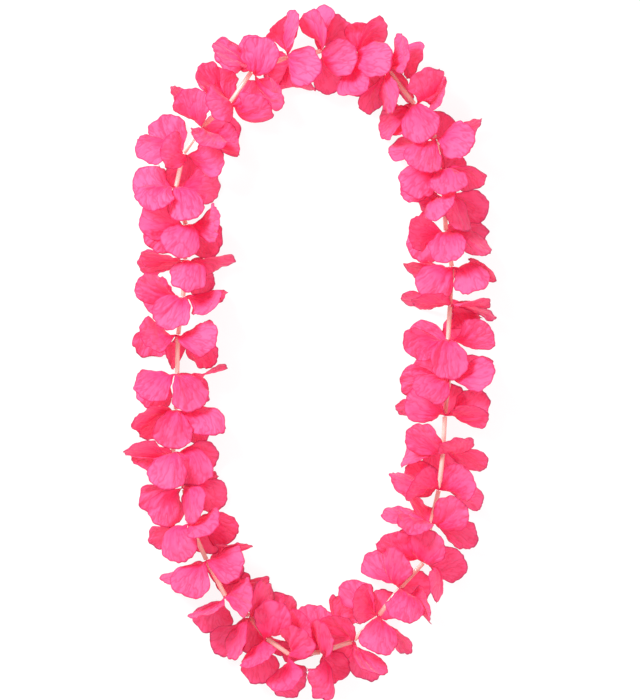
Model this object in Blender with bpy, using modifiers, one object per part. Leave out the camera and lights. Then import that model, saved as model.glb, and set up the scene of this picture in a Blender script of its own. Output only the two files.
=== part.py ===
"""A cloth flower lei, lying flat in its loop.

Forty-one die-cut blooms of five petals sit on one closed thread, kept apart by drinking-straw
spacers. Sizes are in millimetres until a mesh is made. The frame is +Z up, the lei lies on
z = 0 with its long way along Y, and the origin is under the middle of it.
"""
import math

import bmesh
import bpy
import numpy as np
from mathutils.bvhtree import BVHTree

# Scale of the traced places: one pixel of the picture, and the pixel at the loop's middle
MM_PER_PIXEL = 0.68
LOOP_MIDDLE = (312.0, 348.5)

# The die-cut bloom, laid flat
PETALS = 5
PETAL_STEP = math.tau / PETALS
PETAL_LENGTH = 35.5
PETAL_WAIST = 7.5
PETAL_HALF_WIDTH = 13.2
WAIST_PLACE = 12.0
WIDEST_PLACE = 22.3
TIP_RADIUS = 13.2
TIP_ANGLES = (-62.0, -31.0, 0.0, 31.0, 62.0)
TIP_WIDTH = 2.0
HUB_RADIUS = 5.0
HOLE_RADIUS = 1.2
CORNER_PULL = 0.25
CLOTH_THICKNESS = 0.7
LEAST_CUP = 0.008
LARGEST_CUP = 0.035
MERGE_DISTANCE = 0.01

# Thread and straw spacers
STRING_HEIGHT = 18.0
THREAD_RADIUS = 0.4
STRAW_RADIUS = 1.6
STRAW_END_GAP = 1.15
SHOULDER_LENGTH = 0.05

# How a petal may leave its flat shape
STATION_STEP = 1.0
LEAST_SHARE = 0.001
ROLL_END = 16.0
BEND_ENDS = (14.0, 23.0, 35.0)
ROLLS = (0.0, -30.0, 30.0, -60.0, 60.0, -90.0, 90.0, -115.0, 115.0)
DIRECTIONS = 620
SMALLEST_BEND = 1.0
LARGEST_BEND = 130.0
KEPT_BENDS = 200
TRIED_POSES = 1200
FINE_TURN = 0.07
ROLL_PLAY = 10.0
FREE_SINK = 0.8
HIDDEN_REACH = 24.0
HIDDEN_BREADTH = 0.8
TALLEST = 46.0

# How much each departure counts when a petal's pose is chosen
TIP_TOLERANCES = (2.0, 5.0, 12.0, 30.0)
BREADTH_TOLERANCE = 0.22
BEND_TOLERANCE = 85.0
ROLL_TOLERANCE = 80.0
SINK_TOLERANCE = 0.9
RISE_TOLERANCE = 2.0

# Room kept round cloth and straw while the petals are settled
CLOTH_ROOM = 0.5
SKIN_ROOM = 0.42
EDGE_ROOM = 0.5
STRAW_ROOM = 2.0
ROD_SIDES = 8
NEAR_BLOOMS = 4
SNAP_HEIGHT = 0.12
SEED = 17

# Each bloom: its centre in pixels, the angle of its first petal from straight outwards towards
# straight up, and its petals in that order. A petal is its tip in pixels and how broad it looks
# from above, from 0 for edge-on to 1 for flat, or None where other petals hide it.
BLOOMS = (
    ((288, 57), -37, ((282, 23, 0.6), (297, 17, 0.3), (321, 74, 0.9), (300, 84, 0.5), (268, 72, 0.9))),
    ((322, 51), -72, ((336, 10, 0.8), (318, 9, 0.5), (309, 12, 0.5), (357, 52, 0.9), (340, 88, 0.9))),
    ((357, 58), -52, ((362, 25, 0.5), (385, 33, 0.6), (392, 60, 0.9), (366, 88, 0.7), None)),
    ((389, 71), -22, ((418, 68, 0.6), (404, 52, 0.6), (389, 113, 0.4), (377, 113, 0.5), (401, 116, 0.8))),
    ((415, 105), -36, ((440, 98, 0.6), (422, 72, 0.8), (428, 143, 1.0), (379, 128, 0.6), (411, 126, 0.3))),
    ((436, 139), -14, ((481, 120, 0.4), (471, 151, 1.0), (421, 172, 1.0), (395, 145, 0.5), None)),
    ((440, 170), -10, ((474, 186, 0.5), (449, 195, 1.0), (406, 195, 0.9), (411, 203, 0.4), None)),
    ((444, 197), -30, ((494, 222, 0.7), (463, 232, 0.5), (447, 212, 0.5), (418, 196, 0.7), None)),
    ((446, 232), -60, ((474, 240, 0.6), (489, 254, 0.6), (447, 262, 1.0), (408, 230, 0.9), (418, 258, 0.7))),
    ((452, 268), -30, ((483, 266, 0.3), (473, 290, 1.0), (424, 295, 1.0), (410, 274, 0.5), None)),
    ((450, 305), -20, ((494, 312, 0.4), (483, 299, 0.2), (415, 298, 0.3), (404, 304, 0.3), (462, 317, 0.3))),
    ((448, 341), -54, ((456, 316, 0.6), (490, 326, 0.7), (448, 379, 1.0), (411, 357, 0.8), (411, 334, 0.8))),
    ((449, 378), -30, ((487, 357, 0.6), (495, 371, 0.7), None, (401, 388, 0.9), (414, 366, 0.6))),
    ((445, 415), -30, ((487, 395, 0.9), (486, 410, 0.6), (405, 391, 0.9), (397, 413, 0.4), (458, 387, 0.4))),
    ((443, 452), -36, ((486, 466, 0.6), (450, 438, 0.9), (407, 427, 0.8), (403, 452, 0.6), (448, 480, 0.9))),
    ((439, 489), -20, ((484, 496, 0.6), (470, 474, 0.9), (411, 481, 0.9), (389, 477, 0.4), (401, 465, 0.8))),
    ((431, 523), -20, ((478, 545, 0.9), (462, 500, 1.0), (412, 531, 0.4), (391, 510, 0.5), (411, 502, 0.8))),
    ((424, 562), -50, ((467, 562, 0.8), (434, 600, 0.5), (432, 530, 1.0), (388, 534, 0.8), None)),
    ((400, 588), -10, ((430, 606, 0.4), (404, 618, 1.0), (397, 549, 0.8), (374, 552, 0.8), None)),
    ((378, 616), -10, ((404, 655, 0.4), (374, 652, 0.9), (356, 600, 0.8), (348, 585, 0.8), (377, 588, 0.8))),
    ((353, 641), -30, ((366, 683, 0.8), (380, 672, 0.4), (324, 614, 0.6), (351, 611, 0.8), (332, 650, 0.9))),
    ((322, 652), -60, ((343, 678, 0.9), (311, 681, 0.9), (322, 620, 0.4), (310, 603, 0.8), None)),
    ((290, 655), -30, ((303, 688, 0.8), (286, 688, 0.9), (303, 632, 1.0), (304, 613, 0.8), None)),
    ((266, 638), -36, ((258, 690, 0.9), (258, 661, 1.0), (277, 599, 1.0), (296, 606, 0.5), None)),
    ((250, 617), -20, ((213, 659, 0.5), (231, 675, 0.5), (273, 591, 0.5), None, (247, 655, 0.7))),
    ((226, 597), -30, ((214, 634, 0.9), (201, 616, 0.2), (255, 597, 0.9), (262, 592, 0.5), None)),
    ((207, 561), -20, ((161, 581, 0.3), (183, 594, 1.0), (244, 568, 0.9), (240, 545, 0.3), (247, 578, 0.6))),
    ((190, 524), -30, ((155, 548, 0.8), (187, 560, 1.0), (210, 527, 0.6), (238, 538, 0.7), (232, 552, 0.6))),
    ((184, 488), -30, ((146, 512, 1.0), (161, 531, 1.0), (195, 521, 0.6), (220, 506, 0.8), (202, 472, 0.4))),
    ((173, 453), -54, ((139, 466, 0.7), (129, 446, 0.5), (164, 489, 1.0), (190, 486, 1.0), (221, 460, 0.3))),
    ((176, 411), -50, ((138, 442, 0.6), (134, 423, 0.3), (170, 454, 1.0), (208, 436, 1.0), (200, 443, 0.6))),
    ((177, 375), -36, ((143, 408, 0.9), (142, 397, 0.8), (200, 410, 1.0), (214, 370, 0.1), (207, 396, 0.7))),
    ((178, 336), -30, ((150, 356, 0.8), (142, 338, 0.8), (218, 338, 1.0), (207, 367, 0.5), (165, 367, 1.0))),
    ((183, 298), -54, ((145, 297, 0.9), (140, 278, 0.9), (162, 328, 1.0), (208, 314, 1.0), (224, 298, 0.3))),
    ((185, 261), -30, ((140, 268, 0.5), (142, 250, 0.3), (183, 288, 1.0), (226, 264, 0.3), (212, 284, 0.8))),
    ((186, 226), -36, ((150, 248, 0.8), (142, 216, 0.9), (173, 256, 1.0), (220, 222, 0.8), (221, 251, 0.8))),
    ((176, 188), -30, ((144, 168, 0.9), (158, 211, 0.9), (190, 222, 1.0), (215, 180, 0.9), None)),
    ((183, 154), -54, ((160, 116, 1.0), (139, 156, 0.6), (168, 147, 1.0), (218, 150, 0.8), (176, 190, 0.9))),
    ((202, 127), -20, ((171, 86, 0.4), (191, 92, 0.9), (201, 146, 0.9), (235, 142, 0.7), (240, 130, 0.8))),
    ((230, 103), -54, ((221, 70, 0.8), (200, 71, 0.6), (213, 108, 0.6), (264, 100, 0.6), (273, 87, 0.9))),
    ((252, 71), -100, ((248, 30, 0.9), (218, 62, 0.7), (214, 46, 0.6), (262, 38, 1.0), (281, 86, 0.5))),
)

# What stands in a petal's place where an obstacle is a hub or a straw
HUB = -1
ROD = -2

UP = np.array((0.0, 0.0, 1.0))
STATIONS = np.arange(HUB_RADIUS, PETAL_LENGTH + STATION_STEP / 2, STATION_STEP)
OUTLINE_PLACES = (HUB_RADIUS, WAIST_PLACE, WIDEST_PLACE, PETAL_LENGTH)
OUTLINE_WIDTHS = (HUB_RADIUS * math.sin(PETAL_STEP / 2), PETAL_WAIST, PETAL_HALF_WIDTH, TIP_WIDTH)
STATION_WIDTHS = np.interp(STATIONS, OUTLINE_PLACES, OUTLINE_WIDTHS)


def unit(vector):
    """The vector at length one."""
    return vector / np.linalg.norm(vector, axis=-1, keepdims=True)


def smooth(share):
    """An even ramp from 0 to 1, flat at both ends."""
    share = np.clip(share, 0.0, 1.0)
    return share * share * (3.0 - 2.0 * share)


def place(pixel, height=STRING_HEIGHT):
    """A traced pixel as a point in millimetres."""
    across = (pixel[0] - LOOP_MIDDLE[0]) * MM_PER_PIXEL
    along = (LOOP_MIDDLE[1] - pixel[1]) * MM_PER_PIXEL
    return np.array((across, along, height))


def even_directions(count):
    """Directions spread evenly over a ball, along a golden spiral."""
    turn = math.pi * (3.0 - math.sqrt(5.0))
    index = np.arange(count)
    height = 1.0 - (2.0 * index + 1.0) / count
    ring = np.sqrt(1.0 - height ** 2)
    return np.stack((ring * np.cos(turn * index), ring * np.sin(turn * index), height), axis=1)


CENTRES = np.array([place(bloom[0]) for bloom in BLOOMS])
TANGENTS = unit(np.roll(CENTRES, -1, axis=0) - np.roll(CENTRES, 1, axis=0))
OUTWARDS = np.cross(UP, TANGENTS)
BALL = even_directions(DIRECTIONS)


def petal_outline():
    """The petal's rows of points, root to tip, as (along, across) pairs laid flat."""
    corner = HUB_RADIUS * math.cos(PETAL_STEP / 2), HUB_RADIUS * math.sin(PETAL_STEP / 2)
    root = [(corner[0], -corner[1])] * 2 + [(HUB_RADIUS, 0.0)] + [corner] * 2
    shares = (-1.0, -0.5, 0.0, 0.5, 1.0)
    waist = [(WAIST_PLACE, share * PETAL_WAIST) for share in shares]
    widest = [(WIDEST_PLACE, share * PETAL_HALF_WIDTH) for share in shares]
    middle = PETAL_LENGTH - TIP_RADIUS
    spokes = [math.radians(angle) for angle in TIP_ANGLES]
    tip = [(middle + TIP_RADIUS * math.cos(a), TIP_RADIUS * math.sin(a)) for a in spokes]
    return root, waist, widest, tip


def flat_bloom():
    """The die-cut bloom laid flat: five gridded petals round a pierced hub."""
    rows = petal_outline()
    columns = len(TIP_ANGLES)
    cut = bmesh.new()
    for petal in range(PETALS):
        grid = bmesh.ops.create_grid(cut, x_segments=len(rows) - 1, y_segments=columns - 1, size=0.5)
        cosine, sine = math.cos(petal * PETAL_STEP), math.sin(petal * PETAL_STEP)
        for vert in grid["verts"]:
            row = round((vert.co.x + 0.5) * (len(rows) - 1))
            column = round((vert.co.y + 0.5) * (columns - 1))
            along, across = rows[row][column]
            vert.co = (along * cosine - across * sine, along * sine + across * cosine, 0.0)
    bmesh.ops.remove_doubles(cut, verts=cut.verts, dist=MERGE_DISTANCE)
    inner = [edge for edge in cut.edges if edge.is_boundary
             and all(vert.co.length < HUB_RADIUS + MERGE_DISTANCE for vert in edge.verts)]
    ring = bmesh.ops.extrude_edge_only(cut, edges=inner)["geom"]
    for vert in ring:
        if isinstance(vert, bmesh.types.BMVert):
            corner = PETAL_STEP * round(math.atan2(vert.co.y, vert.co.x) / PETAL_STEP + CORNER_PULL)
            vert.co = (HOLE_RADIUS * math.cos(corner), HOLE_RADIUS * math.sin(corner), 0.0)
    bmesh.ops.remove_doubles(cut, verts=cut.verts, dist=MERGE_DISTANCE)
    bmesh.ops.triangulate(cut, faces=cut.faces, quad_method="SHORT_EDGE")
    bmesh.ops.recalc_face_normals(cut, faces=cut.faces)
    mesh = bpy.data.meshes.new("flat_bloom")
    cut.to_mesh(mesh)
    cut.free()
    return mesh


class FlatBloom:
    """The flat bloom's points, faces and which petal each belongs to."""

    def __init__(self, mesh):
        points = np.array([vert.co[:2] for vert in mesh.vertices])
        self.mesh = mesh
        self.faces = np.array([face.vertices[:] for face in mesh.polygons])
        self.reach = np.hypot(points[:, 0], points[:, 1])
        self.angle = np.arctan2(points[:, 1], points[:, 0])
        self.on_hub = self.reach < HUB_RADIUS + MERGE_DISTANCE
        nearest = np.round(self.angle / PETAL_STEP).astype(int) % PETALS
        self.petal = np.where(self.on_hub, HUB, nearest)
        off_axis = self.angle - self.petal * PETAL_STEP
        self.along = self.reach * np.cos(off_axis)
        self.across = self.reach * np.sin(off_axis)

    def petal_faces(self, petal, outer_only=False):
        """The faces that lean on one petal, with or without those that share the hub."""
        members = self.petal[self.faces]
        if outer_only:
            return self.faces[np.all(members == petal, axis=1)]
        return self.faces[np.any(members == petal, axis=1)]

    def faces_laid(self, points):
        """The faces whose corners all have their place."""
        return self.faces[np.all(np.any(points != 0.0, axis=1)[self.faces], axis=1)]

    def hub_faces(self):
        """The faces of the pierced hub."""
        return self.faces[np.all(self.on_hub[self.faces], axis=1)]


def root_frame(bloom, petal):
    """Where a petal heads at its root, its sideways direction and its face's normal."""
    angle = math.radians(BLOOMS[bloom][1]) + petal * PETAL_STEP
    root = math.cos(angle) * OUTWARDS[bloom] + math.sin(angle) * UP
    side = -math.sin(angle) * OUTWARDS[bloom] + math.cos(angle) * UP
    return root, side, TANGENTS[bloom]


def sweep(frame, ends, bend_ends, rolls):
    """Centre-lines and their frames, a row for each pose and a station each millimetre.

    A petal leaves the hub along its root direction and bends evenly until it heads along
    its end direction, while it rolls about its own length.
    """
    root, side, normal = frame
    dots = np.clip(ends @ root, -1.0, 1.0)
    bow = unit(ends - dots[:, None] * root)[:, None, :]
    ramp = smooth((STATIONS - HUB_RADIUS) / (bend_ends[:, None] - HUB_RADIUS))
    turn = (np.arccos(dots)[:, None] * ramp)[..., None]
    heading = np.cos(turn) * root + np.sin(turn) * bow

    def carried(vector):
        part = (bow * vector).sum(-1, keepdims=True)
        return vector + part * ((np.cos(turn) - 1.0) * bow - np.sin(turn) * root)

    roll_ramp = smooth((STATIONS - HUB_RADIUS) / (ROLL_END - HUB_RADIUS))
    roll = (np.radians(rolls)[:, None] * roll_ramp)[..., None]
    flat_side, flat_face = carried(side), carried(normal)
    sideways = np.cos(roll) * flat_side + np.sin(roll) * flat_face
    facing = np.cos(roll) * flat_face - np.sin(roll) * flat_side
    steps = (heading[:, 1:] + heading[:, :-1]) * STATION_STEP / 2
    path = np.concatenate((np.zeros_like(steps[:, :1]), np.cumsum(steps, axis=1)), axis=1)
    return path + root * HUB_RADIUS, sideways, facing


def petal_target(bloom, petal):
    """Where the petal's tip goes from its bloom's centre, how far off is free, and its breadth."""
    traced = BLOOMS[bloom][2][petal]
    if traced is None:
        return np.zeros(2), HIDDEN_REACH, HIDDEN_BREADTH
    return (place(traced[:2]) - CENTRES[bloom])[:2], 0.0, traced[2]


def tip_misses(path, target):
    """How far each pose's tip lies outside the place asked for, seen from above."""
    return np.maximum(0.0, np.linalg.norm(path[:, -1, :2] - target[0], axis=1) - target[1])


def pose_costs(target, tolerance, frame, ends, bend_ends, rolls):
    """How far each pose is from what the traced petal asks for, lowest best."""
    path, sideways, facing = sweep(frame, ends, bend_ends, rolls)
    bends = np.degrees(np.arccos(np.clip(ends @ frame[0], -1.0, 1.0)))
    rise = np.abs(sideways[..., 2]) * STATION_WIDTHS
    middle = path[..., 2] + STRING_HEIGHT
    sink = np.maximum(0.0, CLOTH_THICKNESS / 2 - (middle - rise)).max(axis=1)
    excess = np.maximum(0.0, (middle + rise) - TALLEST).max(axis=1)
    broad = (np.abs(facing[..., 2]) * STATION_WIDTHS).sum(axis=1) / STATION_WIDTHS.sum()
    cost = (bends / BEND_TOLERANCE) ** 2 + (rolls / ROLL_TOLERANCE) ** 2
    cost += (np.maximum(0.0, sink - FREE_SINK) / SINK_TOLERANCE) ** 2 + (excess / RISE_TOLERANCE) ** 2
    cost += (tip_misses(path, target) / tolerance) ** 2
    cost += ((broad - target[2]) / BREADTH_TOLERANCE) ** 2
    return cost


def pose_choices(bloom, petal, tolerance, random):
    """Poses for one petal, best first, as (end direction, bend end, roll) triples."""
    frame = root_frame(bloom, petal)
    target = petal_target(bloom, petal)
    bends = np.degrees(np.arccos(np.clip(BALL @ frame[0], -1.0, 1.0)))
    near = BALL[(bends < LARGEST_BEND) & (bends > SMALLEST_BEND)]
    ends = np.concatenate([near] * len(BEND_ENDS))
    bend_ends = np.repeat(BEND_ENDS, len(near))
    path = sweep(frame, ends, bend_ends, np.zeros(len(ends)))[0]
    bends = np.degrees(np.arccos(np.clip(ends @ frame[0], -1.0, 1.0)))
    misses = (tip_misses(path, target) / tolerance) ** 2 + (bends / BEND_TOLERANCE) ** 2
    kept = np.argsort(misses)[:KEPT_BENDS]
    loosened = unit(ends[kept] + random.normal(0.0, FINE_TURN, (len(kept), 3)))
    ends = np.repeat(np.concatenate((ends[kept], loosened)), len(ROLLS), axis=0)
    bend_ends = np.repeat(np.concatenate((bend_ends[kept], bend_ends[kept])), len(ROLLS))
    rolls = np.tile(ROLLS, 2 * len(kept)) + random.uniform(-ROLL_PLAY, ROLL_PLAY, len(ends))
    costs = pose_costs(target, tolerance, frame, ends, bend_ends, rolls)
    order = np.argsort(costs)[:TRIED_POSES]
    return [(ends[index], bend_ends[index], rolls[index]) for index in order]


def drape_petal(bloom, petal, pose, cup, flat, widen=0.0):
    """Points and normals of one petal's verts for a pose; other verts are left at zero.

    The petal is rolled round its centre-line by the curvature cup, it lies on the surface
    where it would sink into it, and it can be widened by the room that its cut edge needs.
    """
    end, bend_end, roll = pose
    frame = root_frame(bloom, petal)
    swept = sweep(frame, end[None], np.array([bend_end]), np.array([roll]))
    across = flat.across * (1.0 + widen / PETAL_HALF_WIDTH)
    along = np.where(flat.along > WIDEST_PLACE, flat.along + widen, flat.along)
    index = np.clip((along - HUB_RADIUS) / STATION_STEP, 0.0, len(STATIONS) - 1.0)
    low = np.minimum(index.astype(int), len(STATIONS) - 2)
    share = (index - low)[:, None]
    path, side, face = (grid[0][low] * (1.0 - share) + grid[0][low + 1] * share for grid in swept)
    bend = cup * np.maximum(smooth((along - HUB_RADIUS) / WAIST_PLACE), LEAST_SHARE)
    sideways = (np.sin(bend * across) / bend)[:, None]
    lifted = ((1.0 - np.cos(bend * across)) / bend)[:, None]
    points = CENTRES[bloom] + path + sideways * side + lifted * face
    points[:, 2] = np.maximum(points[:, 2], CLOTH_THICKNESS / 2)
    turned = (bend * across)[:, None]
    normals = unit(np.cos(turned) * face - np.sin(turned) * side)
    member = (flat.petal == petal)[:, None]
    return np.where(member, points, 0.0), np.where(member, normals, 0.0)


def hub_points(bloom, flat):
    """Points and normals of a bloom's flat hub."""
    angle = (math.radians(BLOOMS[bloom][1]) + flat.angle)[:, None]
    heading = np.cos(angle) * OUTWARDS[bloom] + np.sin(angle) * UP
    points = CENTRES[bloom] + flat.reach[:, None] * heading
    member = flat.on_hub[:, None]
    return np.where(member, points, 0.0), np.where(member, TANGENTS[bloom], 0.0)


class Shell:
    """A sheet's two skins, set off by the room it needs, for telling whether two sheets meet."""

    def __init__(self, bloom, petal, points, normals, faces):
        self.bloom, self.petal = bloom, petal
        upper, lower = points + normals * CLOTH_ROOM, points - normals * CLOTH_ROOM
        used = np.unique(faces)
        both = np.concatenate((upper[used], lower[used]))
        self.low, self.high = both.min(axis=0), both.max(axis=0)
        skins = np.concatenate((faces, faces + len(points)))
        self.tree = BVHTree.FromPolygons(np.concatenate((upper, lower)).tolist(), skins.tolist())

    def meets(self, other):
        """Whether the two shells cross."""
        if np.any(self.low > other.high) or np.any(other.low > self.high):
            return False
        return bool(self.tree.overlap(other.tree))


class Rod:
    """A straw with the room round it, as an obstacle."""

    def __init__(self, index):
        following = (index + 1) % len(BLOOMS)
        heading = unit(CENTRES[following] - CENTRES[index])
        side = np.cross(UP, heading)
        angles = np.arange(ROD_SIDES) * math.tau / ROD_SIDES
        ring = [math.cos(angle) * side + math.sin(angle) * UP for angle in angles]
        ends = (CENTRES[index] + heading * EDGE_ROOM, CENTRES[following] - heading * EDGE_ROOM)
        points = [end + STRAW_ROOM * spoke for end in ends for spoke in ring]
        turned = [(side, (side + 1) % ROD_SIDES) for side in range(ROD_SIDES)]
        faces = [(one, two, ROD_SIDES + two, ROD_SIDES + one) for one, two in turned]
        self.bloom, self.petal = index, ROD
        self.low, self.high = np.min(points, axis=0), np.max(points, axis=0)
        self.tree = BVHTree.FromPolygons([tuple(point) for point in points], faces)


def ring_distance(first, second):
    """How many blooms lie between two along the loop."""
    apart = abs(first - second)
    return min(apart, len(BLOOMS) - apart)


def clear_petal(bloom, petal, pose, cup, flat, near):
    """The petal's shell in this pose if it stays clear of all that is near, or else None."""
    points, normals = drape_petal(bloom, petal, pose, cup, flat, EDGE_ROOM)
    outer = Shell(bloom, petal, points, normals, flat.petal_faces(petal, outer_only=True))
    own = [other for other in near if other.bloom == bloom and other.petal >= 0]
    if any(outer.meets(other) for other in own):
        return None
    hub, hub_normals = hub_points(bloom, flat)
    whole = Shell(bloom, petal, points + hub, normals + hub_normals, flat.petal_faces(petal))
    rest = [other for other in near if other.bloom != bloom or other.petal == ROD]
    if any(whole.meets(other) for other in rest):
        return None
    return outer


def settling_order():
    """Every petal as (bloom, petal): those seen from above by their height, then the hidden."""
    order = []
    for bloom, (_, first, petals) in enumerate(BLOOMS):
        for petal, traced in enumerate(petals):
            height = math.sin(math.radians(first) + petal * PETAL_STEP)
            order.append((traced is None, -round(height, 4), bloom, petal))
    return [row[2:] for row in sorted(order)]


def skin_crossings(points, flat):
    """How many pairs of faces of a sheet's two skins would cross once it has its thickness."""
    faces = flat.faces_laid(points)
    sides = np.roll(points[faces], -1, axis=1) - points[faces]
    headings = unit(sides)
    corners = np.arccos(np.clip(-(headings * np.roll(headings, 1, axis=1)).sum(-1), -1.0, 1.0))
    facing = unit(np.cross(sides[:, 0], sides[:, 1]))
    normals = np.zeros_like(points)
    np.add.at(normals, faces, corners[..., None] * facing[:, None, :])
    normals /= np.maximum(np.linalg.norm(normals, axis=1, keepdims=True), LEAST_SHARE)
    skins = np.concatenate((points + normals * SKIN_ROOM, points - normals * SKIN_ROOM))
    pairs = np.concatenate((faces, faces + len(points))).tolist()
    tree = BVHTree.FromPolygons(skins.tolist(), pairs)
    return sum(set(pairs[one]).isdisjoint(pairs[two]) for one, two in tree.overlap(tree))


def first_clear_pose(bloom, petal, shape, flat, near, random):
    """The best pose that clears all that is near and the bloom itself, asked for ever more loosely.

    Where no pose keeps the bloom's skins apart, the one with the fewest crossings is taken.
    Returns the petal's shell and the bloom's shape so far with the petal added.
    """
    cup = random.uniform(LEAST_CUP, LARGEST_CUP) * random.choice((-1.0, 1.0))
    fewest, found = math.inf, None
    before = skin_crossings(shape, flat)
    for tolerance in TIP_TOLERANCES:
        for pose in pose_choices(bloom, petal, tolerance, random):
            shell = clear_petal(bloom, petal, pose, cup, flat, near)
            if shell is None:
                continue
            grown = shape + drape_petal(bloom, petal, pose, cup, flat)[0]
            crossings = skin_crossings(grown, flat)
            if crossings < fewest:
                fewest, found = crossings, (shell, grown)
            if crossings <= before:
                return found
    if found is None:
        raise ValueError(f"petal {petal} of bloom {bloom + 1} finds no room")
    return found


def settle(flat):
    """Every bloom's draped points, its petals laid one by one clear of all that lie already."""
    random = np.random.default_rng(SEED)
    placed = [Rod(index) for index in range(len(BLOOMS))]
    shapes = []
    for bloom in range(len(BLOOMS)):
        points, normals = hub_points(bloom, flat)
        placed.append(Shell(bloom, HUB, points, normals, flat.hub_faces()))
        shapes.append(points)
    for bloom, petal in settling_order():
        near = [other for other in placed if ring_distance(bloom, other.bloom) <= NEAR_BLOOMS]
        shell, shapes[bloom] = first_clear_pose(bloom, petal, shapes[bloom], flat, near, random)
        placed.append(shell)
    return shapes


def material(name, color, roughness):
    """A plain Principled material."""
    made = bpy.data.materials.new(name)
    made.diffuse_color = (*color, 1.0)
    made.use_nodes = True
    shader = made.node_tree.nodes["Principled BSDF"]
    shader.inputs["Base Color"].default_value = (*color, 1.0)
    shader.inputs["Roughness"].default_value = roughness
    shader.inputs["Metallic"].default_value = 0.0
    return made


def solid_from(source, name, collection, finish):
    """The evaluated object as a plain closed mesh of its own; the source object goes."""
    depsgraph = bpy.context.evaluated_depsgraph_get()
    mesh = bpy.data.meshes.new_from_object(source.evaluated_get(depsgraph))
    bpy.data.objects.remove(source, do_unlink=True)
    mesh.materials.clear()
    mesh.materials.append(finish)
    solid = bpy.data.objects.new(name, mesh)
    collection.objects.link(solid)
    return solid


def make_bloom(bloom, shape, flat, collection, finish):
    """One bloom: the flat cut moved to its draped points and given its cloth thickness."""
    mesh = flat.mesh.copy()
    mesh.vertices.foreach_set("co", (shape / 1000.0).ravel())
    mesh.update()
    sheet = bpy.data.objects.new("sheet", mesh)
    collection.objects.link(sheet)
    thicken = sheet.modifiers.new("Cloth thickness", "SOLIDIFY")
    thicken.thickness = CLOTH_THICKNESS / 1000.0
    thicken.offset = 0.0
    split = sheet.modifiers.new("Rim triangles", "TRIANGULATE")
    split.quad_method = "FIXED"
    solid = solid_from(sheet, f"bloom_{bloom + 1:02d}", collection, finish)
    for vert in solid.data.vertices:
        if vert.co.z < SNAP_HEIGHT / 1000.0:
            vert.co.z = 0.0
    return solid


def make_string(collection, finish):
    """The closed thread with a straw on each stretch between two blooms."""
    stations = []
    for index, centre in enumerate(CENTRES):
        following = CENTRES[(index + 1) % len(CENTRES)]
        heading = unit(following - centre)
        for start, way in ((centre, heading), (following, -heading)):
            thread = start + way * (STRAW_END_GAP - SHOULDER_LENGTH)
            straw = start + way * STRAW_END_GAP
            pair = [(thread, THREAD_RADIUS), (straw, STRAW_RADIUS)]
            stations.extend(pair if way is heading else reversed(pair))
    curve = bpy.data.curves.new("route", "CURVE")
    curve.dimensions = "3D"
    curve.bevel_depth = 0.001
    curve.bevel_resolution = 2
    curve.twist_mode = "Z_UP"
    route = curve.splines.new("POLY")
    route.points.add(len(stations) - 1)
    for point, (spot, radius) in zip(route.points, stations):
        point.co = (*(spot / 1000.0), 1.0)
        point.radius = radius
    route.use_cyclic_u = True
    tube = bpy.data.objects.new("route", curve)
    collection.objects.link(tube)
    return solid_from(tube, "string_with_straws", collection, finish)


def stand_on_origin(solids):
    """Moves the whole lei so that the middle of its box's underside is the origin."""
    corners = np.array([vert.co[:] for solid in solids for vert in solid.data.vertices])
    low, high = corners.min(axis=0), corners.max(axis=0)
    shift = np.array(((low[0] + high[0]) / 2, (low[1] + high[1]) / 2, low[2]))
    for solid in solids:
        for vert in solid.data.vertices:
            vert.co = [value - move for value, move in zip(vert.co, shift)]
        solid.data.update()
    return shift


def main():
    """Builds the lei."""
    for leftover in list(bpy.data.objects):
        bpy.data.objects.remove(leftover, do_unlink=True)
    collection = bpy.data.collections.new("flower_lei")
    bpy.context.scene.collection.children.link(collection)
    cloth = material("bloom cloth", (1.0, 0.08, 0.26), 0.75)
    plastic = material("straw plastic", (0.95, 0.62, 0.5), 0.3)
    flat = FlatBloom(flat_bloom())
    shapes = settle(flat)
    solids = [make_bloom(bloom, shape, flat, collection, cloth) for bloom, shape in enumerate(shapes)]
    solids.append(make_string(collection, plastic))
    return stand_on_origin(solids)


if __name__ == "__main__":
    main()
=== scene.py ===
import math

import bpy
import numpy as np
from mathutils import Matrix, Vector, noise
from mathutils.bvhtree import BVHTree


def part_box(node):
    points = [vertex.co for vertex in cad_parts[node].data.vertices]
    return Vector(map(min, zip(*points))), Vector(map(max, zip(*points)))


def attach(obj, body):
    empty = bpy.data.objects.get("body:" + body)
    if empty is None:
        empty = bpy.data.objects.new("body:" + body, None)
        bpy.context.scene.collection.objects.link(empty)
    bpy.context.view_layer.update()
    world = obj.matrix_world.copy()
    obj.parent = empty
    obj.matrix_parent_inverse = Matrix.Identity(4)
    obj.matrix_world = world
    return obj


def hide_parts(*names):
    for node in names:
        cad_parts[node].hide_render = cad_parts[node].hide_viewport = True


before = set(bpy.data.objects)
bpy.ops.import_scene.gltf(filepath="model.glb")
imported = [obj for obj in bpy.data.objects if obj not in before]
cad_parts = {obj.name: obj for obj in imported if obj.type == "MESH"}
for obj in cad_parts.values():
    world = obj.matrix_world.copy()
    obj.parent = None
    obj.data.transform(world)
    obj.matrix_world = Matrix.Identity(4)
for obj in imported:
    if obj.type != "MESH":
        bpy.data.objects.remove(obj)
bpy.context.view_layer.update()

# %% [markdown]
# # A cloth flower lei
# This lesson dresses a plain model of a party lei. The real thing is a loop of thin cloth blooms,
# each cut in one piece and threaded through its middle, with a short length of drinking straw
# between each two to keep them apart. The model that is loaded above already has every bloom
# draped where it lies, as a thick and coarse sheet. Here each one becomes thin, creased cloth, and
# the rods between them become hollow straws on a thread.
#
# All sizes are in metres. The lei lies on z = 0 and is seen from straight above.

MM = 0.001
print("loaded", len(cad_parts), "nodes")

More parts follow.
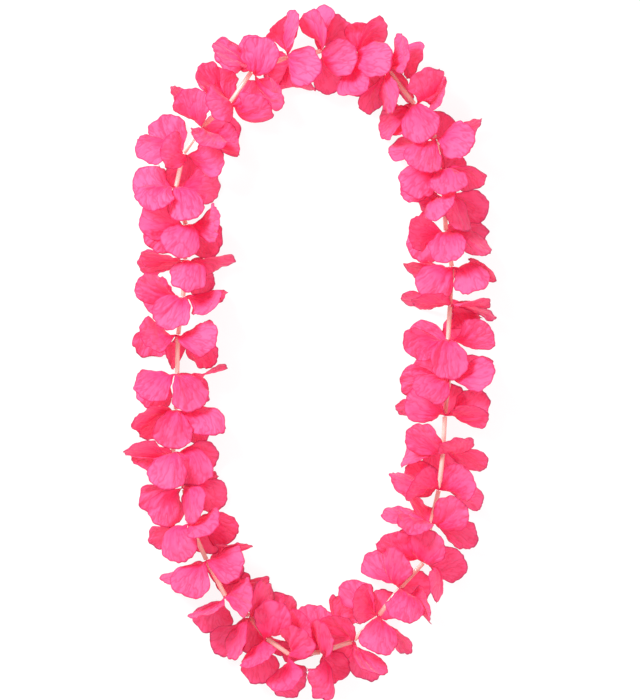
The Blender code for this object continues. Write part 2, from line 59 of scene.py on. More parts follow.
# %% [markdown]
# ## Places on the picture
# The blooms' middles were read from the picture, one pixel each, clockwise from the top. One pixel
# is 0.68 mm, because their distances then add up to the metre that such a lei measures. The string
# of the loaded model tells where its pixels lie in the model's own frame.

# %% From pixels to metres
METRES_PER_PIXEL = 0.68 * MM
PICTURE_SIZE = (640, 700)
STRING_HEIGHT = 18 * MM
CENTRE_PIXELS = (
    (288, 57), (322, 51), (357, 58), (389, 71), (415, 105), (436, 139), (440, 170), (444, 197),
    (446, 232), (452, 268), (450, 305), (448, 341), (449, 378), (445, 415), (443, 452), (439, 489),
    (431, 523), (424, 562), (400, 588), (378, 616), (353, 641), (322, 652), (290, 655), (266, 638),
    (250, 617), (226, 597), (207, 561), (190, 524), (184, 488), (173, 453), (176, 411), (177, 375),
    (178, 336), (183, 298), (185, 261), (186, 226), (176, 188), (183, 154), (202, 127), (230, 103),
    (252, 71))

string_low, string_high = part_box("string_with_straws")
pixels = np.array(CENTRE_PIXELS, float)
middle_pixel = (pixels.min(axis=0) + pixels.max(axis=0)) / 2
middle_place = (string_low + string_high) / 2


def place(pixel, height=STRING_HEIGHT):
    """A pixel of the picture as a place in the model's frame."""
    across = middle_place.x + (pixel[0] - middle_pixel[0]) * METRES_PER_PIXEL
    along = middle_place.y - (pixel[1] - middle_pixel[1]) * METRES_PER_PIXEL
    return np.array((across, along, height))


centres = np.array([place(pixel) for pixel in CENTRE_PIXELS])
print("blooms", len(centres), "loop", round(float(sum(
    np.linalg.norm(centres[i] - centres[i - 1]) for i in range(len(centres)))), 3), "m round")

# %% [markdown]
# ## Camera
# The picture looks straight down, with hardly any perspective, so the camera stands far above the
# lei with a long lens. Its view at the height of the string is exactly the picture's frame.

# %% A camera straight above
CAMERA_DISTANCE = 3.0
SENSOR = 24.0
view_height = PICTURE_SIZE[1] * METRES_PER_PIXEL
view_middle = place((PICTURE_SIZE[0] / 2, PICTURE_SIZE[1] / 2))
bpy.ops.object.camera_add(
    location=(view_middle[0], view_middle[1], STRING_HEIGHT + CAMERA_DISTANCE), rotation=(0, 0, 0))
camera = bpy.context.object
camera.name = "camera"
camera.data.sensor_fit = "VERTICAL"
camera.data.sensor_height = SENSOR
camera.data.lens = SENSOR * CAMERA_DISTANCE / view_height
camera.data.clip_end = 20
bpy.context.scene.camera = camera
print("lens", round(camera.data.lens), "mm")

# %% [markdown]
# ## Helpers
# An operator acts on whatever is selected, and after loading everything is. So each step first
# selects just the piece that it works on.

# %% Selecting and applying


def work_on(piece):
    """Selects one piece and makes it the active one."""
    bpy.ops.object.select_all(action="DESELECT")
    piece.select_set(True)
    bpy.context.view_layer.objects.active = piece


def apply_modifier(piece, kind, **settings):
    """Adds a modifier, sets it up and applies it."""
    work_on(piece)
    bpy.ops.object.modifier_add(type=kind)
    modifier = piece.modifiers[-1]
    for name, value in settings.items():
        setattr(modifier, name, value)
    bpy.ops.object.modifier_apply(modifier=modifier.name)


def get_places(mesh):
    """A mesh's points as an array."""
    places = np.empty(len(mesh.vertices) * 3, np.float32)
    mesh.vertices.foreach_get("co", places)
    return places.reshape(-1, 3).astype(float)


def set_places(mesh, places):
    """Moves a mesh's points to the places in an array."""
    mesh.vertices.foreach_set("co", np.asarray(places, np.float32).ravel())
    mesh.update()


print("helpers ready")

# %% [markdown]
# ## The flat bloom
# Every bloom is stamped from flat cloth: five round petals on a small hub with a hole. A grid is
# added for each petal and its rows are moved to the petal's outline, from the hub to the tip. The
# five are joined and their corners merged, and the inner edge is extruded to the hole. This
# sheet has the same points as one skin of each loaded bloom, which is what lets it be draped like
# one. Its flat places stay on it as a UV map, so that folds and weave can follow the cut.

# %% The cut's outline
PETALS = 5
PETAL_STEP = math.tau / PETALS
PETAL_LENGTH = 35.5 * MM
PETAL_WAIST = 7.5 * MM
PETAL_HALF_WIDTH = 13.2 * MM
WAIST_PLACE = 12.0 * MM
WIDEST_PLACE = 22.3 * MM
TIP_RADIUS = 13.2 * MM
TIP_ANGLES = (-62.0, -31.0, 0.0, 31.0, 62.0)
HUB_RADIUS = 5.0 * MM
HOLE_RADIUS = 1.2 * MM
MERGE = 0.01 * MM


def petal_rows():
    """The petal's rows of points from hub to tip, as (along, across) pairs."""
    corner = HUB_RADIUS * math.cos(PETAL_STEP / 2), HUB_RADIUS * math.sin(PETAL_STEP / 2)
    root = [(corner[0], -corner[1])] * 2 + [(HUB_RADIUS, 0.0)] + [corner] * 2
    shares = (-1.0, -0.5, 0.0, 0.5, 1.0)
    waist = [(WAIST_PLACE, share * PETAL_WAIST) for share in shares]
    widest = [(WIDEST_PLACE, share * PETAL_HALF_WIDTH) for share in shares]
    middle = PETAL_LENGTH - TIP_RADIUS
    spokes = [math.radians(angle) for angle in TIP_ANGLES]
    tip = [(middle + TIP_RADIUS * math.cos(a), TIP_RADIUS * math.sin(a)) for a in spokes]
    return root, waist, widest, tip


def add_petal(number, rows):
    """One petal's grid, turned to its place round the hub."""
    bpy.ops.mesh.primitive_grid_add(x_subdivisions=len(rows) - 1, y_subdivisions=len(TIP_ANGLES) - 1, size=1)
    petal = bpy.context.object
    cosine, sine = math.cos(number * PETAL_STEP), math.sin(number * PETAL_STEP)
    for vert in petal.data.vertices:
        row = round((vert.co.x + 0.5) * (len(rows) - 1))
        column = round((vert.co.y + 0.5) * (len(TIP_ANGLES) - 1))
        along, across = rows[row][column]
        vert.co = (along * cosine - across * sine, along * sine + across * cosine, 0.0)
    return petal


def select_hub_edge(mesh, reach):
    """Selects the edges that have both ends within reach of the middle."""
    for vert in mesh.vertices:
        vert.select = vert.co.length < reach
    for edge in mesh.edges:
        edge.select = all(mesh.vertices[index].select for index in edge.vertices)
    for face in mesh.polygons:
        face.select = False


# %% Stamp the cloth
bpy.ops.object.select_all(action="DESELECT")
petals = [add_petal(number, petal_rows()) for number in range(PETALS)]
for petal in petals:
    petal.select_set(True)
bpy.ops.object.join()
cut = bpy.context.object
cut.name = "flat_cut"
bpy.ops.object.mode_set(mode="EDIT")
bpy.ops.mesh.select_all(action="SELECT")
bpy.ops.mesh.remove_doubles(threshold=MERGE)
bpy.ops.mesh.select_mode(type="EDGE")
bpy.ops.mesh.select_all(action="DESELECT")
bpy.ops.object.mode_set(mode="OBJECT")
select_hub_edge(cut.data, HUB_RADIUS + MERGE)
before = len(cut.data.vertices)
bpy.ops.object.mode_set(mode="EDIT")
bpy.ops.mesh.extrude_region_move(TRANSFORM_OT_translate={"value": (0, 0, 0)})
bpy.ops.object.mode_set(mode="OBJECT")
for vert in list(cut.data.vertices)[before:]:
    corner = PETAL_STEP * round(math.atan2(vert.co.y, vert.co.x) / PETAL_STEP + 0.25)
    vert.co = (HOLE_RADIUS * math.cos(corner), HOLE_RADIUS * math.sin(corner), 0.0)
bpy.ops.object.mode_set(mode="EDIT")
bpy.ops.mesh.select_all(action="SELECT")
bpy.ops.mesh.remove_doubles(threshold=MERGE)
bpy.ops.mesh.normals_make_consistent(inside=False)
bpy.ops.object.mode_set(mode="OBJECT")
print("flat cut", len(cut.data.vertices), "points", len(cut.data.polygons), "faces")

# %% [markdown]
# ## Reading how a bloom lies
# A loaded bloom is a closed solid: two skins of triangles, joined by a narrow strip all round the
# cut edge. Its corners come in no known order. So the flat cut is walked triangle by triangle, and
# the skin beside it in step, from an edge of the hole outwards. Where the walk fits all the way,
# every corner of the cut has found its place in the skin. The place halfway between the two skins
# is where the cloth itself lies.

# %% Walk two sheets in step
RIM_STEP = 0.9 * MM


def third_corners(faces):
    """For each directed side of the triangles, the corner across from it."""
    table = {}
    for one, two, three in faces:
        table[one, two], table[two, three], table[three, one] = three, one, two
    return table


def walk_in_step(cut_table, skin_table, cut_side, skin_side):
    """The skin's corner for each of the cut's, or None where the two sheets differ."""
    found = dict(zip(cut_side, skin_side))
    waiting, done = [(cut_side, skin_side)], set()
    while waiting:
        (one, two), (first, second) = waiting.pop()
        if (one, two) in done:
            continue
        done.add((one, two))
        corner, partner = cut_table.get((one, two)), skin_table.get((first, second))
        if corner is None and partner is None:
            continue
        if corner is None or partner is None or found.setdefault(corner, partner) != partner:
            return None
        waiting.append(((corner, two), (partner, second)))
        waiting.append(((one, corner), (first, partner)))
    return found


def merged_copy(node):
    """The node's mesh as an object of its own, with its loose triangles joined up."""
    work_on(node)
    bpy.ops.object.duplicate()
    copy = bpy.context.object
    bpy.ops.object.mode_set(mode="EDIT")
    bpy.ops.mesh.select_all(action="SELECT")
    bpy.ops.mesh.remove_doubles(threshold=MERGE)
    bpy.ops.object.mode_set(mode="OBJECT")
    return copy


# %% Triangles of the flat cut
work_on(cut)
bpy.ops.object.duplicate()
split_cut = bpy.context.object
apply_modifier(split_cut, "TRIANGULATE", quad_method="SHORTEST_DIAGONAL")
cut_places = get_places(cut.data)
cut_faces = [tuple(face.vertices) for face in split_cut.data.polygons]
cut_table = third_corners(cut_faces)
in_hole = [index for index, spot in enumerate(cut_places) if np.hypot(*spot[:2]) < HUB_RADIUS / 2]
hole_sides = [side for side in cut_table if side[0] in in_hole and side[1] in in_hole]
hole_sides = [side for side in hole_sides if (side[1], side[0]) not in cut_table]
bpy.ops.object.delete()
print("triangles of the cut", len(cut_faces), "sides of its hole", len(hole_sides))


# %% The places of a bloom's cloth
def round_sides(face):
    """A face's directed sides."""
    return list(zip(face, face[1:] + face[:1]))


def hole_starts(table, spots, centre):
    """The open sides of a skin that lie at the hole in its middle."""
    open_sides = [side for side in table if (side[1], side[0]) not in table]
    return [side for side in open_sides
            if max(np.linalg.norm(spots[corner] - centre) for corner in side) < HUB_RADIUS / 2]


def matched_skins(table, spots, centre):
    """Every way in which the flat cut fits a skin, each as the places of the cut's points."""
    walks = [walk_in_step(cut_table, table, hole_sides[0], side)
             for side in hole_starts(table, spots, centre)]
    return [spots[[walk[index] for index in range(len(cut_places))]]
            for walk in walks if walk and len(walk) == len(cut_places)]


def read_drape(node, centre):
    """The places that the flat cut's points have in one loaded bloom."""
    copy = merged_copy(node)
    spots = get_places(copy.data)
    faces = [tuple(face.vertices) for face in copy.data.polygons]
    bpy.ops.object.delete()
    skins = [face for face in faces
             if min(np.linalg.norm(spots[a] - spots[b]) for a, b in round_sides(face)) > RIM_STEP]
    fronts = matched_skins(third_corners(skins), spots, centre)
    backs = matched_skins(third_corners([face[::-1] for face in skins]), spots, centre)
    if not fronts or not backs:
        raise ValueError(f"{node.name} doesn't fit the flat cut")
    fits = [(np.linalg.norm(front - back, axis=1).max(), (front + back) / 2)
            for front in fronts for back in backs]
    return min(fits, key=lambda fit: fit[0])


thickest = 0.0
drapes = []
for number, centre in enumerate(centres):
    apart, drape = read_drape(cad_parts[f"bloom_{number + 1:02d}"], centre)
    thickest = max(thickest, apart)
    drapes.append(drape)
print("read", len(drapes), "blooms, skins at most", round(thickest / MM, 2), "mm apart")

# %% [markdown]
# ## Smooth cloth from the coarse sheet
# A subdivision surface rounds a coarse sheet, but it also pulls it in from its own points, so the
# petals would come out small. The points are therefore pushed out a little, by just as much as
# the rounding pulls them in, until the smooth sheet runs through the places that were asked for.
# The same is done with the flat cut, whose smooth points then tell where on the cut each point of
# a draped sheet lies.

# %% A smooth sheet through given places
SMOOTH_LEVELS = 3
PUSHES = 3
UV_WIDTH = 80 * MM


def smooth_sheet(name, spots):
    """A copy of the flat cut draped over the places, then smoothed."""
    work_on(cut)
    bpy.ops.object.duplicate()
    sheet = bpy.context.object
    sheet.name = name
    set_places(sheet.data, spots)
    apply_modifier(sheet, "SUBSURF", levels=SMOOTH_LEVELS, render_levels=SMOOTH_LEVELS,
                   uv_smooth="SMOOTH_ALL", boundary_smooth="ALL")
    return sheet


def fitted_sheet(name, wanted):
    """A smooth sheet that runs through the wanted places."""
    spots = wanted.copy()
    for _ in range(PUSHES):
        trial = smooth_sheet("trial", spots)
        spots += wanted - get_places(trial.data)[:len(wanted)]
        bpy.ops.object.delete()
    return smooth_sheet(name, spots)


while cut.data.uv_layers:
    cut.data.uv_layers.remove(cut.data.uv_layers[0])
flat_map = cut.data.uv_layers.new(name="cloth")
for loop in cut.data.loops:
    spot = cut_places[loop.vertex_index]
    flat_map.data[loop.index].uv = (0.5 + spot[0] / UV_WIDTH, 0.5 + spot[1] / UV_WIDTH)
flat_sheet = fitted_sheet("flat_sheet", cut_places)
flat_fine = get_places(flat_sheet.data)[:, :2]
fine_edges = np.array([edge.vertices[:] for edge in flat_sheet.data.edges])

# %% [markdown]
# ## Where a point lies on the cut
# Creases and ruffles follow the cut. Creases fan out from the hub, where the cloth is pinched, and
# ruffles run along the cut edge. So each point gets its petal, its angle round the hub, how far
# out it is, and how far it is from the nearest cut edge.

# %% Measures on the cut
reach = np.hypot(flat_fine[:, 0], flat_fine[:, 1])
angle = np.arctan2(flat_fine[:, 1], flat_fine[:, 0])
petal_of = np.round(angle / PETAL_STEP).astype(int) % PETALS
off_axis = angle - np.round(angle / PETAL_STEP) * PETAL_STEP
counts = {}
for face in flat_sheet.data.polygons:
    for key in face.edge_keys:
        counts[key] = counts.get(key, 0) + 1
rim_points = sorted({corner for key, count in counts.items() if count == 1 for corner in key})
rim_points = [corner for corner in rim_points if reach[corner] > HUB_RADIUS / 2]
to_rim = flat_fine[:, None, :] - flat_fine[None, rim_points, :]
rim_gaps = np.hypot(to_rim[..., 0], to_rim[..., 1])
nearest_rim = rim_gaps.argmin(axis=1)
rim_distance = rim_gaps.min(axis=1)
rim_place = flat_fine[rim_points][nearest_rim]
print("points on the cut edge", len(rim_points))

# %% [markdown]
# ## Creases and ruffles
# Stamped cloth that was packed flat and then pulled open keeps soft folds that fan out from the
# hub, petals that curl at the tip and the sides, a wavy edge, and small dents all over. Each bloom
# draws its own. They are heights above the sheet, in metres, read at every point of the cut.

# %% Heights of the folds
PLEAT_HEIGHT = 1.5 * MM
RUFFLE_HEIGHT = 1.5 * MM
DENT_HEIGHT = 0.5 * MM
CURL_HEIGHT = 3.2 * MM
along = reach * np.cos(off_axis)
across = reach * np.sin(off_axis)


def fade(low, high, value):
    """A smooth ramp from 0 at low to 1 at high."""
    share = np.clip((value - low) / (high - low), 0.0, 1.0)
    return share * share * (3.0 - 2.0 * share)


def noise_at(places, size, offset):
    """Smooth noise between about -1 and 1 at flat places, with bumps of the given size."""
    return np.array([noise.noise((x / size + offset, y / size - offset, offset * 0.37)) for x, y in places])


def pleats(random):
    """Folds that fan out from the hub and die away towards the tip."""
    height = np.zeros(len(flat_fine))
    for petal in range(PETALS):
        for fold in range(random.integers(4, 7)):
            heading = random.uniform(-0.58, 0.58)
            bent = heading + random.uniform(-0.12, 0.12) * reach / PETAL_LENGTH
            width = random.uniform(0.9, 2.0) * MM * (0.4 + reach / PETAL_LENGTH)
            aside = np.abs((off_axis - bent) * reach / width)
            length = random.uniform(0.6, 1.15) * PETAL_LENGTH
            strength = random.uniform(0.4, 1.0) * random.choice((-1.0, 1.0))
            grown = fade(3.5 * MM, 11 * MM, reach) * (1.0 - fade(length * 0.6, length, reach))
            height += np.where(petal_of == petal, strength * grown * np.exp(-aside ** 1.4), 0.0)
    return height


def curls(random):
    """How the petals' tips and sides curl."""
    height = np.zeros(len(flat_fine))
    for petal in range(PETALS):
        tip = random.uniform(-1.0, 1.0) * fade(0.45 * PETAL_LENGTH, 1.05 * PETAL_LENGTH, along)
        lean = random.uniform(-0.8, 0.8) * across / PETAL_HALF_WIDTH
        roll = random.uniform(-0.7, 0.7) * (across / PETAL_HALF_WIDTH) ** 2
        sides = fade(HUB_RADIUS, WIDEST_PLACE, along) * (lean + roll)
        height += np.where(petal_of == petal, tip + sides, 0.0)
    return height


def fold_heights(number):
    """One bloom's curls, and all its smaller folds together."""
    random = np.random.default_rng(700 + number)
    offset = 11.0 + 3.7 * number
    near_rim = 1.0 - fade(0.0, 9 * MM, rim_distance)
    ruffle = noise_at(rim_place, 6.5 * MM, offset) + 0.6 * noise_at(rim_place, 3.2 * MM, offset + 5)
    dents = noise_at(flat_fine, 6.0 * MM, offset + 9) + 0.5 * noise_at(flat_fine, 2.8 * MM, offset + 14)
    outside = fade(HUB_RADIUS * 0.8, HUB_RADIUS * 1.8, reach)
    small = outside * (near_rim * ruffle * RUFFLE_HEIGHT + dents * DENT_HEIGHT)
    return curls(random) * CURL_HEIGHT, pleats(random) * PLEAT_HEIGHT + small


heights = [fold_heights(number) for number in range(len(drapes))]
print("folds up to", round(float(max(np.abs(fold).max() for pair in heights for fold in pair)) / MM, 2), "mm")

# %% [markdown]
# ## The cut edge
# The edge isn't a clean arc: it wavers in and out by up to a millimetre. The loaded petals are a
# little narrow near the hub, because solid sheets need more room than cloth, so they are widened
# there, as far as the next petal on the cut. A move on the cut has to become a move in space. Each
# edge of the mesh is known both on the cut and in space, so a small fit at each point gives the
# two directions in space that the cut's two directions turned into.

# %% Moves on the cut as moves in space
NOTCH = 0.25 * MM
MOST_OUT = 1.3 * MM


def cloth_directions(places):
    """At each point, the directions in space of the cut's two directions, as 3 by 2 tables."""
    one, two = fine_edges[:, 0], fine_edges[:, 1]
    flat_step, step = flat_fine[two] - flat_fine[one], places[two] - places[one]
    outer = np.zeros((len(places), 3, 2))
    inner = np.zeros((len(places), 2, 2))
    for ends in (one, two):
        np.add.at(outer, ends, step[:, :, None] * flat_step[:, None, :])
        np.add.at(inner, ends, flat_step[:, :, None] * flat_step[:, None, :])
    return outer @ np.linalg.inv(inner)


petal_turn = angle - off_axis
petal_way = np.stack((np.cos(petal_turn), np.sin(petal_turn)), axis=1)
side_way = np.stack((-np.sin(petal_turn), np.cos(petal_turn)), axis=1)
from_middle = flat_fine - petal_way * WIDEST_PLACE
outwards = from_middle / np.maximum(np.linalg.norm(from_middle, axis=1, keepdims=True), MM)
outwards *= fade(HUB_RADIUS, WAIST_PLACE, along)[:, None]
outline_width = np.interp(along, (HUB_RADIUS, WAIST_PLACE, WIDEST_PLACE), (3 * MM, PETAL_WAIST, PETAL_HALF_WIDTH))
waist_share = fade(0.8 * HUB_RADIUS, WAIST_PLACE, along) * (1.0 - fade(0.75 * WIDEST_PLACE, 1.15 * WIDEST_PLACE, along))
widening = (waist_share * np.clip(across / outline_width, -1.0, 1.0))[:, None] * side_way


def cut_moves(number, most):
    """How each point moves on the cut, to widen the petal and to make its edge waver."""
    offset = 50.0 + 2.9 * number
    waver = 1.7 * noise_at(rim_place, 7.5 * MM, offset) + 0.8 * noise_at(rim_place, 2.9 * MM, offset + 3)
    out = np.minimum((waver - 0.05) * MM, most) * (1.0 - fade(0.0, 6 * MM, rim_distance))
    moved = flat_fine + outwards * out[:, None] + widening * np.minimum(MOST_OUT, most)[:, None]
    sideways = (moved * side_way).sum(axis=1)
    free = np.maximum((moved * petal_way).sum(axis=1) * math.tan(PETAL_STEP / 2) - NOTCH, np.abs(across))
    over = np.sign(sideways) * np.maximum(np.abs(sideways) - free, 0.0)
    return moved - over[:, None] * side_way - flat_fine


print("petals widened by up to", round(float(np.linalg.norm(widening, axis=1).max() * MOST_OUT / MM), 2), "mm")

# %% [markdown]
# ## Room for the folds
# Blooms lie close together, so a fold may not push through its neighbour. From every point a ray
# goes out on either side, and the fold gets at most two fifths of the way to whatever it meets.
# The limit is then made to change gently from point to point, so that it leaves no step. At the
# cut edge one more ray goes outwards, and tells how far the petal may be widened there.

# %% Smooth blooms and what lies near them
ROOM_SHARE = 0.4
LONGEST_LOOK = 8 * MM
START_OFF = 0.05 * MM
GENTLE = 0.35
CLOTH = 0.18 * MM
smooth = [fitted_sheet(f"petals_{number + 1:02d}", drape) for number, drape in enumerate(drapes)]
smooth_places = [get_places(sheet.data) for sheet in smooth]
fine_faces = [tuple(face.vertices) for face in flat_sheet.data.polygons]
edge_lengths = np.linalg.norm(flat_fine[fine_edges[:, 0]] - flat_fine[fine_edges[:, 1]], axis=1)
print("smooth blooms", len(smooth))


def normals_of(sheet):
    """The sheet's normals at its points."""
    values = np.empty(len(sheet.data.vertices) * 3, np.float32)
    sheet.data.vertex_normals.foreach_get("vector", values)
    return values.reshape(-1, 3).astype(float)


def near_tree(number):
    """The smooth sheets of a bloom and the four on each side of it, to look for collisions in."""
    places, faces = [], []
    for other in range(number - 4, number + 5):
        spots = smooth_places[other % len(smooth)]
        faces += [tuple(corner + len(places) for corner in face) for face in fine_faces]
        places += spots.tolist()
    return BVHTree.FromPolygons(places, faces)


def room(tree, spots, ways):
    """How far each spot may move along its way."""
    free = np.full(len(spots), LONGEST_LOOK)
    for index, (spot, way) in enumerate(zip(spots, ways)):
        hit = tree.ray_cast(Vector(spot + way * START_OFF), Vector(way), LONGEST_LOOK)
        if hit[3] is not None:
            free[index] = max(0.0, hit[3] - CLOTH)
    return free * ROOM_SHARE


def gentle(most):
    """The limit, lowered so that it changes gently along the cloth."""
    for _ in range(9):
        for ends, others in ((0, 1), (1, 0)):
            reachable = most[fine_edges[:, others]] + edge_lengths * GENTLE
            np.minimum.at(most, fine_edges[:, ends], reachable)
    return most


# %% Lay the folds into each bloom
def within(height, above, below, share):
    """The height, bent over so that it stays within a share of the room on its side."""
    most = np.maximum(np.where(height > 0, above, below) * share, 0.01 * MM)
    return most * np.tanh(height / most)


kept = []
for number, sheet in enumerate(smooth):
    spots, normals, tree = smooth_places[number], normals_of(sheet), near_tree(number)
    above, below = gentle(room(tree, spots, normals)), gentle(room(tree, spots, -normals))
    lift = sum(within(fold, above, below, 0.5) for fold in heights[number])
    kept.append(np.abs(lift).mean() / np.abs(sum(heights[number])).mean())
    directions = cloth_directions(spots)
    outer = (directions @ outwards[:, :, None])[..., 0]
    outer /= np.maximum(np.linalg.norm(outer, axis=1, keepdims=True), 0.1)
    edge_room = room(tree, spots[rim_points], outer[rim_points])[nearest_rim]
    moves = (directions @ cut_moves(number, edge_room)[:, :, None])[..., 0]
    places = spots + normals * lift[:, None] + moves
    places[:, 2] = np.maximum(places[:, 2], CLOTH)
    set_places(sheet.data, places)
print("share of the folds that had room", round(float(np.mean(kept)), 2))

# %% [markdown]
# ## Thickness and shading
# The cloth is a light woven one, under two tenths of a millimetre thick. Three numbers go with
# every point for the material to read: how close it is to the cut edge, how far out on its petal,
# and one that differs from bloom to bloom, so that no two are creased alike.

# %% Give the cloth its thickness
EDGE_BAND = 1.0 * MM
edge_share = 1.0 - np.clip(rim_distance / EDGE_BAND, 0.0, 1.0)
# How far out on the petal; the material uses it to fade the painted shade near the hub.
tip_share = fade(HUB_RADIUS, 0.8 * PETAL_LENGTH, reach)


def add_number(mesh, name, values):
    """Stores one number at each point of a mesh."""
    stored = mesh.attributes.new(name=name, type="FLOAT", domain="POINT")
    stored.data.foreach_set("value", np.asarray(values, np.float32))


for number, sheet in enumerate(smooth):
    add_number(sheet.data, "edge", edge_share)
    add_number(sheet.data, "tip", tip_share)
    add_number(sheet.data, "draw", np.full(len(tip_share), 3.3 * number))
    apply_modifier(sheet, "SOLIDIFY", thickness=CLOTH, offset=0.0)
    work_on(sheet)
    bpy.ops.object.shade_smooth()
triangles = sum(2 * len(sheet.data.polygons) for sheet in smooth)
print("cloth triangles", triangles)

# %% [markdown]
# ## The cloth's material
# Thin polyester in a loud pink. Light goes through it, so a petal over white looks pale and a
# petal over more petals looks deep. The shader is a mix of a matte face, a translucent part for
# the light that comes through, and a little clear part for what is seen between the threads. The
# weave and the finest wrinkles are only bump, because they are finer than the mesh. Shade is
# also painted into the face's colour: deeper pink near the hub and along the fine creases.

# %% Cloth
PINK = (1.0, 0.12, 0.32, 1.0)
# The deep pink is painted shade near the hub, and random deeper patches further out.
DEEP_PINK_HUB_SHADE = (0.98, 0.022, 0.19, 1.0)
# The crease pink is painted shade along the fine creases.
CREASE_SHADE_PINK = (0.82, 0.008, 0.09, 1.0)
EDGE_PINK = (0.5, 0.012, 0.12, 1.0)
THROUGH_PINK = (1.0, 0.11, 0.29, 1.0)
THROUGH_SHARE = 0.33
CLEAR_SHARE = 0.18
THREADS = 190.0


def new_material(name):
    """An empty node material with its output."""
    made = bpy.data.materials.new(name)
    made.use_nodes = True
    made.node_tree.nodes.clear()
    output = made.node_tree.nodes.new("ShaderNodeOutputMaterial")
    return made, made.node_tree, output


def add_node(tree, kind, **values):
    """A node with its sockets set by name."""
    node = tree.nodes.new(kind)
    for name, value in values.items():
        node.inputs[name.replace("_", " ")].default_value = value
    return node


cloth, tree, output = new_material("pink cloth")
link = tree.links.new
flat_place = tree.nodes.new("ShaderNodeTexCoord")
edge = tree.nodes.new("ShaderNodeAttribute")
edge.attribute_name = "edge"
tip = tree.nodes.new("ShaderNodeAttribute")
tip.attribute_name = "tip"

# Painted shade: the face colour is deep pink near the hub and lighter towards the tip, with uneven patches of tone on
# top.
patches = add_node(tree, "ShaderNodeTexNoise", Scale=9.0, Detail=3.0, Roughness=0.55)
link(flat_place.outputs["UV"], patches.inputs["Vector"])
hub_shade_fade = tree.nodes.new("ShaderNodeMath")
hub_shade_fade.operation = "MULTIPLY_ADD"
hub_shade_fade.inputs[1].default_value = 0.75
hub_shade_fade.use_clamp = True
link(tip.outputs["Fac"], hub_shade_fade.inputs[0])
uneven = tree.nodes.new("ShaderNodeMath")
uneven.operation = "MULTIPLY"
uneven.inputs[1].default_value = 0.5
link(patches.outputs["Fac"], uneven.inputs[0])
link(uneven.outputs["Value"], hub_shade_fade.inputs[2])
hub_shaded_color = tree.nodes.new("ShaderNodeMix")
hub_shaded_color.data_type = "RGBA"
hub_shaded_color.inputs["A"].default_value = DEEP_PINK_HUB_SHADE
hub_shaded_color.inputs["B"].default_value = PINK
link(hub_shade_fade.outputs["Value"], hub_shaded_color.inputs["Factor"])
face_color = tree.nodes.new("ShaderNodeMix")
face_color.data_type = "RGBA"
face_color.inputs["B"].default_value = EDGE_PINK
link(edge.outputs["Fac"], face_color.inputs["Factor"])

warp = add_node(tree, "ShaderNodeTexWave", Scale=THREADS / 2)
warp.bands_direction = "X"
weft = add_node(tree, "ShaderNodeTexWave", Scale=THREADS / 2)
weft.bands_direction = "Y"
link(flat_place.outputs["UV"], warp.inputs["Vector"])
link(flat_place.outputs["UV"], weft.inputs["Vector"])
weave = tree.nodes.new("ShaderNodeMath")
weave.operation = "MULTIPLY"
link(warp.outputs["Fac"], weave.inputs[0])
link(weft.outputs["Fac"], weave.inputs[1])
weave_bump = add_node(tree, "ShaderNodeBump", Strength=0.25, Distance=0.03 * MM)
link(weave.outputs["Value"], weave_bump.inputs["Height"])
wrinkle = add_node(tree, "ShaderNodeTexNoise", Scale=22.0, Detail=4.0, Roughness=0.6)
link(flat_place.outputs["UV"], wrinkle.inputs["Vector"])
wrinkle_bump = add_node(tree, "ShaderNodeBump", Strength=0.7, Distance=0.6 * MM)
link(wrinkle.outputs["Fac"], wrinkle_bump.inputs["Height"])
link(weave_bump.outputs["Normal"], wrinkle_bump.inputs["Normal"])

# %% Fine creases that fan out from the hub
from_hub = tree.nodes.new("ShaderNodeVectorMath")
from_hub.operation = "SUBTRACT"
from_hub.inputs[1].default_value = (0.5, 0.5, 0.0)
link(flat_place.outputs["UV"], from_hub.inputs[0])
parts = tree.nodes.new("ShaderNodeSeparateXYZ")
link(from_hub.outputs["Vector"], parts.inputs["Vector"])
heading = tree.nodes.new("ShaderNodeMath")
heading.operation = "ARCTAN2"
link(parts.outputs["Y"], heading.inputs[0])
link(parts.outputs["X"], heading.inputs[1])
hub_gap = tree.nodes.new("ShaderNodeVectorMath")
hub_gap.operation = "LENGTH"
link(from_hub.outputs["Vector"], hub_gap.inputs[0])
draw = tree.nodes.new("ShaderNodeAttribute")
draw.attribute_name = "draw"
fan = tree.nodes.new("ShaderNodeCombineXYZ")
link(heading.outputs["Value"], fan.inputs["X"])
link(hub_gap.outputs["Value"], fan.inputs["Y"])
link(draw.outputs["Fac"], fan.inputs["Z"])
waves = add_node(tree, "ShaderNodeTexNoise", Scale=5.0, Detail=2.0, Roughness=0.6)
link(fan.outputs["Vector"], waves.inputs["Vector"])
level = tree.nodes.new("ShaderNodeMath")
level.operation = "SUBTRACT"
level.inputs[1].default_value = 0.5
link(waves.outputs["Fac"], level.inputs[0])
creases = tree.nodes.new("ShaderNodeMath")
creases.operation = "ABSOLUTE"
link(level.outputs["Value"], creases.inputs[0])
crease_height = tree.nodes.new("ShaderNodeMath")
crease_height.operation = "MULTIPLY"
link(creases.outputs["Value"], crease_height.inputs[0])
link(hub_gap.outputs["Value"], crease_height.inputs[1])
crease_bump = add_node(tree, "ShaderNodeBump", Strength=1.0, Distance=9.0 * MM)
link(crease_height.outputs["Value"], crease_bump.inputs["Height"])
link(wrinkle_bump.outputs["Normal"], crease_bump.inputs["Normal"])

# %% Painted shade in the creases
crease_shade_line = add_node(tree, "ShaderNodeMapRange")
crease_shade_line.inputs["From Min"].default_value = 0.0
crease_shade_line.inputs["From Max"].default_value = 0.05
crease_shade_line.inputs["To Min"].default_value = 0.5
crease_shade_line.inputs["To Max"].default_value = 0.0
link(creases.outputs["Value"], crease_shade_line.inputs["Value"])
crease_shaded_color = tree.nodes.new("ShaderNodeMix")
crease_shaded_color.data_type = "RGBA"
crease_shaded_color.inputs["B"].default_value = CREASE_SHADE_PINK
link(hub_shaded_color.outputs["Result"], crease_shaded_color.inputs["A"])
link(crease_shade_line.outputs["Result"], crease_shaded_color.inputs["Factor"])
link(crease_shaded_color.outputs["Result"], face_color.inputs["A"])

# %% The cloth's faces

